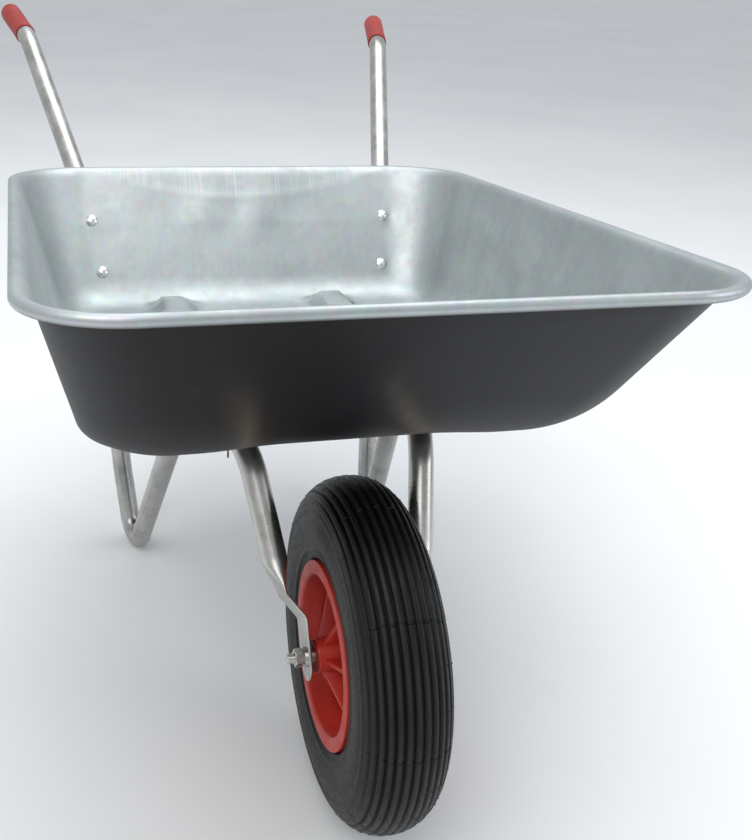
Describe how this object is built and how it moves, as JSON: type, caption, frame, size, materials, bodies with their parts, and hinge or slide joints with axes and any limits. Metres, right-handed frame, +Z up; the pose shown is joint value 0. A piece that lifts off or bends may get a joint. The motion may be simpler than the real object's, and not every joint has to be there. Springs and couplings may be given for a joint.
{
  "type": "wheelbarrow",
  "caption": "Builder's wheelbarrow: pressed galvanised tray on two bent tubes with leg loops, red-centred pneumatic wheel and red grips.",
  "frame": {"origin": "on the ground, in the middle of the footprint's bounding box", "axes": "+X to the left hand of the person at the handles, +Y towards the handles, +Z up"},
  "size_m": [0.7102, 1.386, 0.7634],
  "materials": {
    "tray_steel": "galvanised sheet, satin",
    "tube_steel": "galvanised tube, satin",
    "zinc": "bright zinc plate",
    "grip_plastic": "soft moulded plastic",
    "rim_plastic": "moulded plastic, satin",
    "tyre_rubber": "matte black rubber",
    "tube_rubber": "butyl rubber",
    "nylon": "natural nylon",
    "valve_brass": "plain",
    "cap_plastic": "plain"
  },
  "bodies": {
    "frame": {"tray": "tray_steel", "frame_tube_left": "tube_steel", "frame_tube_right": "tube_steel", "leg_left": "tube_steel", "leg_right": "tube_steel", "grip_left": "grip_plastic", "grip_right": "grip_plastic", "wall_bolts_upper": "zinc", "wall_bolts_lower": "zinc", "floor_bolts": "zinc", "bolt_washers": "zinc", "bolt_nuts": "zinc", "axle_bolt": "zinc", "axle_nut": "zinc", "axle_washers": "zinc", "axle_sleeve": "zinc"},
    "wheel": {"wheel_rim": "rim_plastic", "tyre": "tyre_rubber", "inner_tube": "tube_rubber", "valve_stem": "valve_brass", "valve_cap": "cap_plastic", "hub_bush_left": "nylon", "hub_bush_right": "nylon"}
  },
  "joints": [
    {"name": "wheel_spin", "type": "hinge", "parent": "frame", "child": "wheel", "pos_m": [0, -0.493, 0.2], "axis": [1, 0, 0], "continuous": true}
  ]
}
